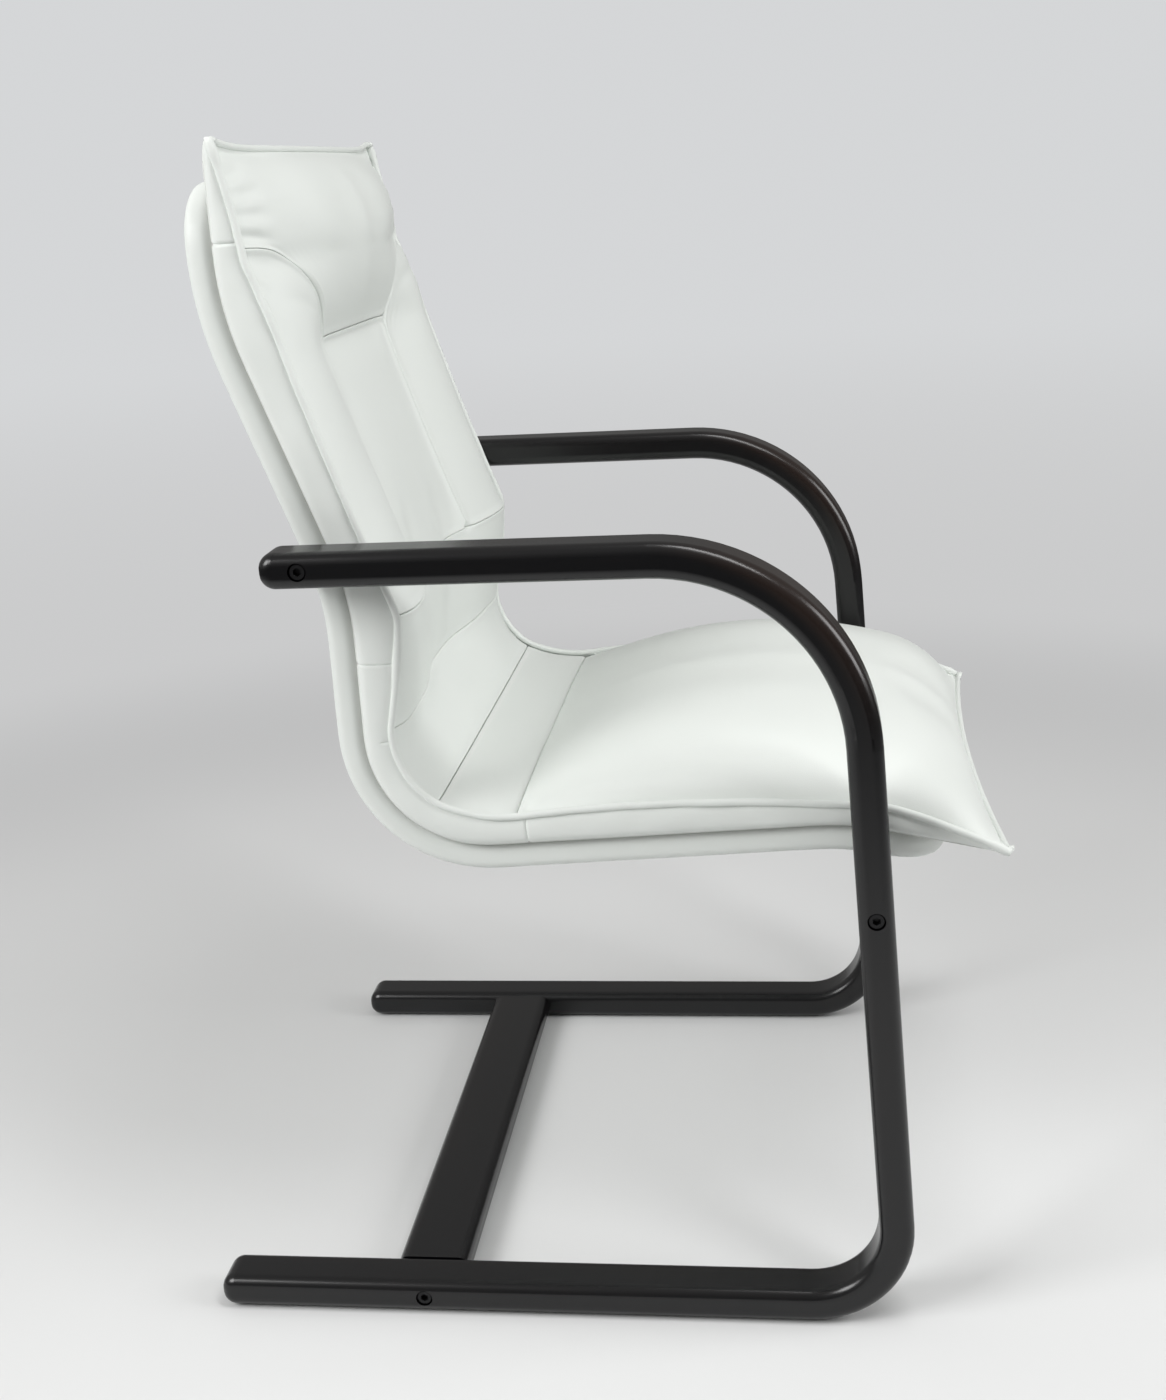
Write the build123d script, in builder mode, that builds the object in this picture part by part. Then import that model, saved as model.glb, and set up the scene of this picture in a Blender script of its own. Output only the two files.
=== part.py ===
# Visitor chair: two bent-wood C-frames carry an upholstered plywood shell and one long sewn cushion.
# Front is -Y, up is +Z and the sitter's right is -X. The floor is Z = 0. All sizes are millimetres.
import os
from math import hypot, pi, radians, sin, sqrt, tan

from build123d import *

os.makedirs("parts", exist_ok=True)

# Whole chair
overall_width = 580.0
overall_depth = 668.0
seat_gap = 0.2

# Bent-wood side frames: runner, front leg and arm in one strip of laminated wood
wood_width = 42.0
wood_thickness = 28.0
wood_edge_round = 9.0
wood_end_round = 12.0
arm_top_z = 662.0
arm_past_bolt = 31.2
leg_foot_y = -245.0
leg_rake = 3.0
foot_bend_radius = 70.0
arm_bend_radius = 157.0

# Floor glides
glide_height = 2.0
glide_diameter = 20.0
glide_nail_diameter = 3.0
glide_nail_length = 12.0
glide_from_rear = 40.0
glide_from_leg = 90.0

# Floor cross bar and front seat rail
bar_y = 155.0
bar_width = 62.0
bar_thickness = 24.0
bar_edge_round = 9.0
rail_bolt_drop = 47.5
rail_thickness = 24.0
rail_below_bolt = 31.0
rail_edge_round = 6.0

# Frame bolts, their barrel nuts and the dowels beside them
bolt_diameter = 8.0
bolt_head_diameter = 13.0
bolt_head_height = 8.0
bolt_head_chamfer = 0.7
bolt_key_size = 6.0
bolt_key_depth = 4.5
bolt_recess = 1.5
bolt_clearance = 0.25
counterbore_clearance = 0.6
nut_diameter = 12.0
nut_length = 18.0
nut_from_end = 38.0
nut_clearance = 0.1
bolt_past_nut = 4.0
dowel_diameter = 8.0
dowel_length = 50.0
dowel_depth_in_frame = 20.0
dowel_clearance = 0.1
bar_dowel_spacing = 38.0
rail_dowel_spacing = 38.0

# Bent plywood shell and its wrapping: the corners of its centre line, seen from the side
shell_below_cushion = 31.0
shell_head_height = 93.0
shell_recline = 19.64
shell_waist_y = 186.5
shell_waist_z = 615.0
shell_heel_z = 389.0
shell_seat_rise = 21.5
shell_knee_y = -207.0
shell_front_y = -281.0
shell_front_drop = 16.0
shoulder_radius = 250.0
waist_radius = 210.0
heel_radius = 105.0
knee_radius = 190.0
plywood_thickness = 16.0
plywood_corner_radius = 45.0
plywood_edge_round = 5.5
padding_thickness = 2.0
leather_thickness = 1.0
length_match = 0.1

# Fixings in the shell
insert_diameter = 11.0
insert_length = 40.0
insert_sink = 6.0
spacer_diameter = 18.0
spacer_length = 13.0
seat_bolt_x = 120.0
seat_bolt_diameter = 6.0
seat_bolt_head_diameter = 10.0
seat_bolt_head_height = 6.0
seat_bolt_key_size = 5.0
seat_bolt_key_depth = 3.5
seat_bolt_recess = 22.0
tee_flange_diameter = 18.0
tee_flange_thickness = 1.5
tee_barrel_diameter = 8.5
tee_barrel_length = 10.0
tee_sink = 2.2

# Cushion: strips that hold it, base cloth, side boxing and piping
strip_thickness = 2.5
strip_width = 40.0
strip_x = 130.0
strip_end_margin = 35.0
cloth_thickness = 1.0
cloth_end_margin = 10.0
boxing_thickness = 1.5
boxing_to_frame = 8.0
piping_diameter = 5.0
cushion_top_z = 959.0
cushion_tip_rise = 15.8
ear_forward = 20.0
shoulder_edge = (-37.0, 37.0)
waist_edge = (-49.5, -19.0)
heel_edge = (-23.5, 41.0)
hollow_edge = (-140.5, 43.0)
thigh_edge = (-206.5, 54.0)
knee_edge = (-33.0, 26.5)
edge_radii = (200.0, 120.0, 78.0, 150.0, 200.0, 250.0)

# Cushion crown: how far the middle of each seam lies from its ends, towards the sitter
shoulder_crown = 20.0
head_belly = 18.0
heel_crown = 3.0
seat_crown = 8.0
knee_crown = (-10.0, 43.0)
top_bow = (-9.0, -14.0)
tip_bow = (12.0, 2.0)
waist_seam_drop = 15.0
lumbar_seam_rise = 118.0
heel_seam_place = (-68.5, 56.0)
seat_seam_place = (-130.5, 44.0)

# Sewn seams of the headrest and the back
head_seam_drop = 77.0
head_tab_drop = 158.0
head_tab_half_width = 107.0
seam_width = 5.0
seam_depth = 5.0

# Dish of each seam across the back: rise of the side bolsters, depth of the middle and half its flat width
bolster_inset = 57.5
tab_dish = (12.0, 10.0, head_tab_half_width)
waist_dish = (10.0, 17.0, 70.0)
lumbar_dish = (9.0, 8.0, 0.0)

# Swell of each sewn zone above the straight line between its seams: at the piping, at the middle
head_swell = (2.0, 18.0)
brow_swell = (1.0, 6.0)
back_swell = (-1.5, -2.0)
upper_lumbar_swell = (1.5, 3.0)
middle_lumbar_swell = (-9.0, -4.0)
lower_lumbar_swell = (-4.0, -2.0)
thigh_swell = (8.0, 36.0)
front_swell = (2.0, 19.0)
crown_steps = 5

# Places worked out from the sizes above
outer_x = overall_width / 2
inner_x = outer_x - wood_width
runner_rear_y = overall_depth / 2
runner_z = glide_height + wood_thickness / 2
arm_z = arm_top_z - wood_thickness / 2
leg_lean = tan(radians(leg_rake))
leg_top_y = leg_foot_y + leg_lean * (arm_z - runner_z)
bolt_seat_depth = bolt_recess + bolt_head_height
bolt_seat_x = outer_x - bolt_seat_depth

shell_top_z = cushion_top_z - shell_below_cushion
shell_shoulder_z = shell_top_z - shell_head_height
shell_back_y = shell_waist_y + tan(radians(shell_recline)) * (shell_shoulder_z - shell_waist_z)
shell_knee_z = shell_heel_z + shell_seat_rise
shell_front_slope = shell_front_drop / (shell_knee_y - shell_front_y)
shell_radii = [shoulder_radius, waist_radius, heel_radius, knee_radius]
rail_z = shell_knee_z - rail_bolt_drop
rail_y = leg_foot_y + leg_lean * (rail_z - runner_z)

wrap_thickness = padding_thickness + leather_thickness
cover_half = plywood_thickness / 2 + wrap_thickness
cover_edge_x = inner_x - spacer_length
plywood_width = 2 * (cover_edge_x - wrap_thickness)
base_shift = cover_half + strip_thickness
pad_shift = base_shift + cloth_thickness
boxing_x = inner_x - boxing_to_frame
pad_half_width = boxing_x - boxing_thickness
bolster_x = pad_half_width - bolster_inset
piping_radius = piping_diameter / 2
piping_x = boxing_x + seat_gap + piping_radius
cross_piping_x = pad_half_width - piping_radius
cushion_tip_y = -overall_depth / 2 + piping_diameter + seat_gap
head_seam_z = cushion_top_z - head_seam_drop
head_tab_z = cushion_top_z - head_tab_drop


def shell_front_z(y):
    """Height of the shell's centre line, drawn on past the front of the seat."""
    return shell_knee_z - shell_front_slope * (shell_knee_y - y)


def shell_line(top_z, front_y):
    """Corners of the shell's centre line from the top of the back to the front of the seat."""
    return [
        (shell_back_y, top_z),
        (shell_back_y, shell_shoulder_z),
        (shell_waist_y, shell_waist_z),
        (shell_waist_y, shell_heel_z),
        (shell_knee_y, shell_knee_z),
        (front_y, shell_front_z(front_y)),
    ]


def moved_line(points, distance):
    """The same polyline moved to its left by a distance, with its corners on the new lines."""
    steps = [(b[0] - a[0], b[1] - a[1]) for a, b in zip(points, points[1:])]
    sides = [(-dz / hypot(dy, dz), dy / hypot(dy, dz)) for dy, dz in steps]
    before = [sides[0]] + sides
    after = sides + [sides[-1]]
    moved = []
    for point, one, two in zip(points, before, after):
        reach = distance / (1 + one[0] * two[0] + one[1] * two[1])
        moved.append((point[0] + reach * (one[0] + two[0]), point[1] + reach * (one[1] + two[1])))
    return moved


def bent_line(points, radii, distance):
    """Draws the polyline, moved to its left, with each corner bent round the same centre."""
    turns = []
    for a, b, c in zip(points, points[1:], points[2:]):
        turns.append((b[0] - a[0]) * (c[1] - b[1]) - (b[1] - a[1]) * (c[0] - b[0]))
    bent_radii = [r - distance if turn > 0 else r + distance for r, turn in zip(radii, turns)]
    return FilletPolyline(*moved_line(points, distance), radius=bent_radii)


def bent_strip(points, radii, front, rear):
    """Fills the strip between two moved copies of a bent line."""
    with BuildLine() as outline:
        near = bent_line(points, radii, front)
        far = bent_line(points, radii, rear)
        Line(near @ 0, far @ 0)
        Line(near @ 1, far @ 1)
    make_face(outline.edges())


def both_sides(x, y, z):
    """Planes at the right and the left of the chair that face outwards."""
    return [Plane(origin=(side * x, y, z), z_dir=(side, 0, 0)) for side in (-1, 1)]


def socket_bolt(diameter, length, head_diameter, head_height, key_size, key_depth):
    """A hex-socket bolt with the underside of its head at the origin and its shank along -Z."""
    with BuildPart() as bolt:
        Cylinder(head_diameter / 2, head_height, align=(Align.CENTER, Align.CENTER, Align.MIN))
        chamfer(bolt.edges().group_by(Axis.Z)[-1], bolt_head_chamfer)
        Cylinder(diameter / 2, length, align=(Align.CENTER, Align.CENTER, Align.MAX))
        with BuildSketch(Plane.XY.offset(head_height)):
            RegularPolygon(key_size / 2, 6, major_radius=False)
        extrude(amount=-key_depth, mode=Mode.SUBTRACT)
    return bolt.part


def barrel_nut():
    """A round cross nut along Z with a hole for the bolt along X."""
    with BuildPart() as nut:
        Cylinder(nut_diameter / 2, nut_length)
        with Locations(Plane(origin=(nut_diameter / 2, 0, 0), z_dir=(1, 0, 0))):
            Hole(bolt_diameter / 2 + nut_clearance, depth=nut_diameter)
    return nut.part


def dowel_planes(y, z, spread):
    """Places of the dowels that start at the frames' inner faces, on both sides of a bolt."""
    planes = []
    for sign in (-1, 1):
        planes += both_sides(inner_x, y + sign * spread[0] / 2, z + sign * spread[1] / 2)
    return planes


bar_dowel_planes = dowel_planes(bar_y, runner_z, (bar_dowel_spacing, 0))
rail_dowel_planes = dowel_planes(rail_y, rail_z, (leg_lean * rail_dowel_spacing, rail_dowel_spacing))
glide_places = [
    (side * (inner_x + wood_width / 2), y)
    for side in (-1, 1)
    for y in (runner_rear_y - glide_from_rear, leg_foot_y + glide_from_leg)
]


# Shell: plywood, padding and leather as three nested layers
def shell_solid(growth):
    """The plywood's shape, grown on every side."""
    thickness = plywood_thickness + 2 * growth
    width = plywood_width + 2 * growth
    line = shell_line(shell_top_z + growth, shell_front_y - growth)
    with BuildPart() as layer:
        with BuildSketch(Plane.YZ.offset(-width / 2)):
            bent_strip(line, shell_radii, -thickness / 2, thickness / 2)
        extrude(amount=width)
        ends = layer.faces().sort_by(Axis.Z)[-1:] + layer.faces().sort_by(Axis.Y)[:1]
        fillet(ends.edges().filter_by(Axis.X, reverse=True), plywood_corner_radius + growth)
        # The outline's edges are all but the bend lines and the short ones through the thickness
        outline = layer.edges()
        for length in (width, thickness):
            outline = outline.filter_by(lambda edge: abs(edge.length - length) > length_match)
        fillet(outline, plywood_edge_round + growth)
    return layer.part


plywood_form = shell_solid(0)
padding_form = shell_solid(padding_thickness)
cover_form = shell_solid(wrap_thickness)
seat_bolt_axes = [Axis((side * seat_bolt_x, rail_y, 0), (0, 0, 1)) for side in (-1, 1)]
seat_bolt_places = []
for axis in seat_bolt_axes:
    heights = [hit[0].Z for hit in plywood_form.find_intersection_points(axis)]
    seat_bolt_places.append((axis.position.X, rail_y, min(heights), max(heights)))
tee_top_drop = tee_sink + tee_flange_thickness
wrap_hole_depth = wrap_thickness + insert_sink

# The arm bolts enter the plywood's edges at mid-thickness
arm_level = Axis((0, 0, arm_z), (0, 1, 0))
arm_hits = [hit[0].Y for hit in plywood_form.find_intersection_points(arm_level)]
arm_bolt_y = (min(arm_hits) + max(arm_hits)) / 2
arm_rear_y = arm_bolt_y + arm_past_bolt
frame_line = [(runner_rear_y, runner_z), (leg_foot_y, runner_z), (leg_top_y, arm_z), (arm_rear_y, arm_z)]
frame_radii = [foot_bend_radius, arm_bend_radius]

# Side frames
with BuildPart() as right_side_frame:
    with BuildSketch(Plane.YZ.offset(-outer_x)) as frame_side:
        bent_strip(frame_line, frame_radii, -wood_thickness / 2, wood_thickness / 2)
        fillet(frame_side.vertices().sort_by(Axis.X)[-4:], wood_end_round)
    extrude(amount=wood_width)
    fillet(right_side_frame.faces().filter_by(Axis.X).edges(), wood_edge_round)
    for y, z in ((arm_bolt_y, arm_z), (rail_y, rail_z), (bar_y, runner_z)):
        with Locations(both_sides(outer_x, y, z)[0]):
            CounterBoreHole(
                radius=bolt_diameter / 2 + bolt_clearance,
                counter_bore_radius=bolt_head_diameter / 2 + counterbore_clearance,
                counter_bore_depth=bolt_seat_depth,
                depth=wood_width,
            )
    for plane in bar_dowel_planes + rail_dowel_planes:
        if plane.origin.X < 0:
            with Locations(Plane(origin=plane.origin, z_dir=-plane.z_dir)):
                Hole(dowel_diameter / 2 + dowel_clearance, depth=dowel_depth_in_frame + seat_gap)
    for x, y in glide_places:
        if x < 0:
            with Locations(Plane(origin=(x, y, glide_height), z_dir=(0, 0, -1))):
                Hole(glide_nail_diameter / 2 + seat_gap, depth=glide_nail_length + seat_gap)
right_side_frame.part.label = "right_side_frame"
export_step(right_side_frame.part, "parts/right_side_frame.step")

with BuildPart() as left_side_frame:
    mirror(right_side_frame.part, about=Plane.YZ)
left_side_frame.part.label = "left_side_frame"
export_step(left_side_frame.part, "parts/left_side_frame.step")

with BuildPart() as floor_glides:
    for x, y in glide_places:
        with Locations((x, y, 0)):
            Cylinder(glide_diameter / 2, glide_height, align=(Align.CENTER, Align.CENTER, Align.MIN))
        with Locations((x, y, glide_height)):
            Cylinder(
                glide_nail_diameter / 2,
                glide_nail_length,
                align=(Align.CENTER, Align.CENTER, Align.MIN),
            )
floor_glides.part.label = "floor_glides"
export_step(floor_glides.part, "parts/floor_glides.step")

# Shell: plywood, padding and leather
with BuildPart() as plywood_shell:
    add(plywood_form)
    with Locations(both_sides(plywood_width / 2, arm_bolt_y, arm_z)):
        Hole(insert_diameter / 2 + seat_gap, depth=insert_sink + insert_length + seat_gap)
    for x, y, low, high in seat_bolt_places:
        with Locations((x, y, high + tee_flange_thickness)):
            CounterBoreHole(
                radius=tee_barrel_diameter / 2 + seat_gap,
                counter_bore_radius=tee_flange_diameter / 2 + seat_gap,
                counter_bore_depth=tee_flange_thickness + tee_top_drop,
                depth=2 * plywood_thickness,
            )
plywood_shell.part.label = "plywood_shell"
export_step(plywood_shell.part, "parts/plywood_shell.step")


def wrap_holes():
    """Cuts the holes that the arm bolts and the seat bolts need in a layer of the wrapping."""
    with Locations(both_sides(cover_edge_x, arm_bolt_y, arm_z)):
        Hole(bolt_diameter / 2 + bolt_clearance, depth=wrap_hole_depth)
    for x, y, low, high in seat_bolt_places:
        with Locations((x, y, low + leather_thickness)):
            Hole(seat_bolt_diameter / 2 + bolt_clearance, depth=wrap_hole_depth)


with BuildPart() as shell_padding:
    add(padding_form)
    add(plywood_form, mode=Mode.SUBTRACT)
    wrap_holes()
shell_padding.part.label = "shell_padding"
export_step(shell_padding.part, "parts/shell_padding.step")

with BuildPart() as shell_cover:
    add(cover_form)
    add(padding_form, mode=Mode.SUBTRACT)
    wrap_holes()
shell_cover.part.label = "shell_cover"
export_step(shell_cover.part, "parts/shell_cover.step")

# Threaded inserts in the plywood's edges, and spacers between the wrapping and the arms
with BuildPart() as shell_edge_inserts:
    with Locations(both_sides(plywood_width / 2 - insert_sink, arm_bolt_y, arm_z)):
        Cylinder(insert_diameter / 2, insert_length, align=(Align.CENTER, Align.CENTER, Align.MAX))
        Hole(bolt_diameter / 2 + nut_clearance, depth=insert_length)
shell_edge_inserts.part.label = "shell_edge_inserts"
export_step(shell_edge_inserts.part, "parts/shell_edge_inserts.step")

with BuildPart() as arm_spacers:
    with Locations(both_sides(inner_x, arm_bolt_y, arm_z)):
        Cylinder(spacer_diameter / 2, spacer_length, align=(Align.CENTER, Align.CENTER, Align.MAX))
        Hole(bolt_diameter / 2 + bolt_clearance, depth=spacer_length)
arm_spacers.part.label = "arm_spacers"
export_step(arm_spacers.part, "parts/arm_spacers.step")

# Floor cross bar
with BuildPart() as floor_cross_bar:
    with BuildSketch(Plane.YZ.offset(-inner_x)):
        with Locations((bar_y, runner_z)):
            RectangleRounded(bar_width, bar_thickness, bar_edge_round)
    extrude(amount=2 * inner_x)
    with Locations(both_sides(inner_x, bar_y, runner_z)):
        Hole(bolt_diameter / 2 + bolt_clearance, depth=nut_from_end + nut_diameter)
    for side in (-1, 1):
        nut_mouth = (side * (inner_x - nut_from_end), bar_y, runner_z - bar_thickness / 2)
        with Locations(Plane(origin=nut_mouth, z_dir=(0, 0, -1))):
            Hole(nut_diameter / 2 + nut_clearance, depth=(bar_thickness + nut_length) / 2 + seat_gap)
    with Locations(bar_dowel_planes):
        Hole(
            dowel_diameter / 2 + dowel_clearance,
            depth=dowel_length - dowel_depth_in_frame + seat_gap,
        )
floor_cross_bar.part.label = "floor_cross_bar"
export_step(floor_cross_bar.part, "parts/floor_cross_bar.step")

# Front seat rail: its top follows the underside of the shell
rail_bottom_z = rail_z - rail_below_bolt
rail_blank_height = shell_knee_z - rail_bottom_z
with BuildPart() as front_seat_rail:
    with BuildSketch(Plane.YZ.offset(-inner_x)) as rail_end:
        with Locations((rail_y, rail_bottom_z)):
            Rectangle(rail_thickness, rail_blank_height, align=(Align.CENTER, Align.MIN))
        fillet(rail_end.vertices().sort_by(Axis.Y)[:2], rail_edge_round)
    extrude(amount=2 * inner_x)
    with BuildSketch(Plane.YZ.offset(-inner_x)):
        bent_strip(
            shell_line(shell_top_z, shell_front_y),
            shell_radii,
            -rail_blank_height / 2,
            cover_half + seat_gap,
        )
    extrude(amount=2 * inner_x, mode=Mode.SUBTRACT)
    with Locations(both_sides(inner_x, rail_y, rail_z)):
        Hole(bolt_diameter / 2 + bolt_clearance, depth=nut_from_end + nut_diameter)
    for side in (-1, 1):
        nut_mouth = (side * (inner_x - nut_from_end), rail_y + rail_thickness / 2, rail_z)
        with Locations(Plane(origin=nut_mouth, z_dir=(0, 1, 0))):
            Hole(nut_diameter / 2 + nut_clearance, depth=(rail_thickness + nut_length) / 2 + seat_gap)
    with Locations(rail_dowel_planes):
        Hole(
            dowel_diameter / 2 + dowel_clearance,
            depth=dowel_length - dowel_depth_in_frame + seat_gap,
        )
    for x, y, low, high in seat_bolt_places:
        with Locations(Plane(origin=(x, y, rail_bottom_z), z_dir=(0, 0, -1))):
            CounterBoreHole(
                radius=seat_bolt_diameter / 2 + bolt_clearance,
                counter_bore_radius=seat_bolt_head_diameter / 2 + counterbore_clearance,
                counter_bore_depth=seat_bolt_recess,
                depth=rail_blank_height,
            )
front_seat_rail.part.label = "front_seat_rail"
export_step(front_seat_rail.part, "parts/front_seat_rail.step")

# Barrel nuts and dowels
with BuildPart() as bar_barrel_nuts:
    with Locations(*[(side * (inner_x - nut_from_end), bar_y, runner_z) for side in (-1, 1)]):
        add(barrel_nut())
bar_barrel_nuts.part.label = "bar_barrel_nuts"
export_step(bar_barrel_nuts.part, "parts/bar_barrel_nuts.step")

with BuildPart() as rail_barrel_nuts:
    for side in (-1, 1):
        nut_place = (side * (inner_x - nut_from_end), rail_y, rail_z)
        with Locations(Plane(origin=nut_place, x_dir=(1, 0, 0), z_dir=(0, 1, 0))):
            add(barrel_nut())
rail_barrel_nuts.part.label = "rail_barrel_nuts"
export_step(rail_barrel_nuts.part, "parts/rail_barrel_nuts.step")


def dowels(planes):
    """Dowels that reach from the frames into the piece between them."""
    with BuildPart() as pins:
        for plane in planes:
            with Locations(plane.offset(dowel_depth_in_frame)):
                Cylinder(
                    dowel_diameter / 2,
                    dowel_length,
                    align=(Align.CENTER, Align.CENTER, Align.MAX),
                )
    return pins.part


bar_dowels = dowels(bar_dowel_planes)
bar_dowels.label = "bar_dowels"
export_step(bar_dowels, "parts/bar_dowels.step")

rail_dowels = dowels(rail_dowel_planes)
rail_dowels.label = "rail_dowels"
export_step(rail_dowels, "parts/rail_dowels.step")


# Frame bolts
def frame_bolts(y, z, length):
    """The pair of bolts that goes through both side frames at one place."""
    bolt = socket_bolt(
        bolt_diameter,
        length,
        bolt_head_diameter,
        bolt_head_height,
        bolt_key_size,
        bolt_key_depth,
    )
    with BuildPart() as pair:
        with Locations(both_sides(bolt_seat_x, y, z)):
            add(bolt)
    return pair.part


nut_bolt_length = bolt_seat_x - inner_x + nut_from_end + nut_diameter / 2 + bolt_past_nut
arm_bolt_length = bolt_seat_x - plywood_width / 2 + insert_sink + insert_length - bolt_past_nut

arm_bolts = frame_bolts(arm_bolt_y, arm_z, arm_bolt_length)
arm_bolts.label = "arm_bolts"
export_step(arm_bolts, "parts/arm_bolts.step")

leg_bolts = frame_bolts(rail_y, rail_z, nut_bolt_length)
leg_bolts.label = "leg_bolts"
export_step(leg_bolts, "parts/leg_bolts.step")

runner_bolts = frame_bolts(bar_y, runner_z, nut_bolt_length)
runner_bolts.label = "runner_bolts"
export_step(runner_bolts, "parts/runner_bolts.step")

# Bolts and tee nuts that hold the shell on the front rail
with BuildPart() as seat_bolts:
    for x, y, low, high in seat_bolt_places:
        head_z = rail_bottom_z + seat_bolt_recess
        with Locations(Plane(origin=(x, y, head_z), z_dir=(0, 0, -1))):
            add(
                socket_bolt(
                    seat_bolt_diameter,
                    high - tee_top_drop - head_z,
                    seat_bolt_head_diameter,
                    seat_bolt_head_height,
                    seat_bolt_key_size,
                    seat_bolt_key_depth,
                )
            )
seat_bolts.part.label = "seat_bolts"
export_step(seat_bolts.part, "parts/seat_bolts.step")

with BuildPart() as tee_nuts:
    for x, y, low, high in seat_bolt_places:
        with Locations((x, y, high - tee_top_drop)):
            Cylinder(
                tee_flange_diameter / 2,
                tee_flange_thickness,
                align=(Align.CENTER, Align.CENTER, Align.MIN),
            )
            Cylinder(
                tee_barrel_diameter / 2,
                tee_barrel_length,
                align=(Align.CENTER, Align.CENTER, Align.MAX),
            )
        with Locations((x, y, high)):
            Hole(seat_bolt_diameter / 2 + nut_clearance, depth=plywood_thickness)
tee_nuts.part.label = "tee_nuts"
export_step(tee_nuts.part, "parts/tee_nuts.step")

# Hook-and-loop strips and the cushion's base cloth
with BuildPart() as cushion_strips:
    for side in (-1, 1):
        with BuildSketch(Plane.YZ.offset(side * strip_x - strip_width / 2)):
            bent_strip(
                shell_line(shell_top_z - strip_end_margin, shell_front_y + strip_end_margin),
                shell_radii,
                -base_shift,
                -cover_half,
            )
    extrude(amount=strip_width)
cushion_strips.part.label = "cushion_strips"
export_step(cushion_strips.part, "parts/cushion_strips.step")

cushion_line = shell_line(cushion_top_z, cushion_tip_y)
cloth_line = shell_line(cushion_top_z + top_bow[1], cushion_tip_y + tip_bow[0] + cloth_end_margin)
with BuildPart() as cushion_base_cloth:
    with BuildSketch(Plane.YZ.offset(-pad_half_width)):
        bent_strip(cloth_line, shell_radii, -pad_shift, -base_shift)
    extrude(amount=2 * pad_half_width)
cushion_base_cloth.part.label = "cushion_base_cloth"
export_step(cushion_base_cloth.part, "parts/cushion_base_cloth.step")

# The piped edge of the cushion, seen from the side
top_ear = (shell_back_y - ear_forward, cushion_top_z)
shoulder_end = (shell_back_y + shoulder_edge[0], shell_shoulder_z + shoulder_edge[1])
waist_end = (shell_waist_y + waist_edge[0], shell_waist_z + waist_edge[1])
heel_end = (shell_waist_y + heel_edge[0], shell_heel_z + heel_edge[1])
knee_end = (shell_knee_y + knee_edge[0], shell_knee_z + knee_edge[1])
tip_ear = (cushion_tip_y, shell_front_z(cushion_tip_y) + cushion_tip_rise)
piping_line = [
    top_ear,
    shoulder_end,
    waist_end,
    heel_end,
    (shell_waist_y + hollow_edge[0], shell_heel_z + hollow_edge[1]),
    (shell_waist_y + thigh_edge[0], shell_heel_z + thigh_edge[1]),
    knee_end,
    tip_ear,
]


def boxing(start_x):
    """A leather side strip between the base cloth and the piped edge."""
    with BuildPart() as strip:
        with BuildSketch(Plane.YZ.offset(start_x)):
            with BuildLine():
                base = bent_line(cushion_line, shell_radii, -base_shift)
                edge = FilletPolyline(*piping_line, radius=edge_radii)
                Line(base @ 0, edge @ 0)
                Line(base @ 1, edge @ 1)
            make_face()
        extrude(amount=boxing_thickness)
    return strip.part


right_boxing = boxing(-boxing_x)
right_boxing.label = "right_boxing"
export_step(right_boxing, "parts/right_boxing.step")

left_boxing = boxing(pad_half_width)
left_boxing.label = "left_boxing"
export_step(left_boxing, "parts/left_boxing.step")


def side_piping(x):
    """A round cord along the piped edge of one side."""
    with BuildPart() as cord:
        with BuildLine(Plane.YZ.offset(x)) as route:
            FilletPolyline(*piping_line, radius=edge_radii)
        with BuildSketch(Plane(origin=route.line @ 0, z_dir=route.line % 0)):
            Circle(piping_radius)
        sweep()
    return cord.part


right_piping = side_piping(-piping_x)
right_piping.label = "right_piping"
export_step(right_piping, "parts/right_piping.step")

left_piping = side_piping(piping_x)
left_piping.label = "left_piping"
export_step(left_piping, "parts/left_piping.step")


# Sewn zones of the cushion, from the headrest down to the front of the seat
def on_edge(upper, lower, z):
    """The point at a height on the straight between two corners of the piped edge."""
    fall = (upper[1] - z) / (upper[1] - lower[1])
    return (upper[0] + (lower[0] - upper[0]) * fall, z)


tab_seam_end = on_edge(shoulder_end, waist_end, head_tab_z)
waist_seam_end = (waist_end[0], shell_waist_z - waist_seam_drop)
lumbar_seam_end = on_edge(waist_end, heel_end, shell_heel_z + lumbar_seam_rise)
heel_seam_end = (shell_waist_y + heel_seam_place[0], shell_heel_z + heel_seam_place[1])
seat_seam_end = (shell_waist_y + seat_seam_place[0], shell_heel_z + seat_seam_place[1])


def crown_at(share):
    """Height of the crown across the cushion, from 1 in the middle to 0 at the piping."""
    return sqrt(1 - share**3)


def dish_at(share, dish):
    """Height across the back: a flat hollow in the middle, a bolster near each side, none at the piping."""
    bolster, hollow, flat = dish
    x = share * pad_half_width
    if x > bolster_x:
        return bolster * sqrt(1 - ((x - bolster_x) / (pad_half_width - bolster_x)) ** 2)
    rise = max(x - flat, 0) / (bolster_x - flat)
    return (bolster + hollow) * rise**2 * (3 - 2 * rise) - hollow


def raised(point, crown, lift):
    """A seam's point, moved from its place at the piping towards its place in the middle."""
    return (point[0] + crown[0] * lift, point[1] + crown[1] * lift)


def sewn_seam(end, crown):
    """A seam across the cushion that rises with the crown from its ends at the piping."""
    return lambda share: raised(end, crown, crown_at(share))


def dished_seam(end, dish):
    """A seam across the back that dips between the side bolsters."""
    return lambda share: raised(end, (-1, 0), dish_at(share, dish))


def free_edge(ear, bow):
    """An edge across the cushion that bows evenly between its two ears."""
    return lambda share: raised(ear, bow, 1 - share**2)


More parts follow.
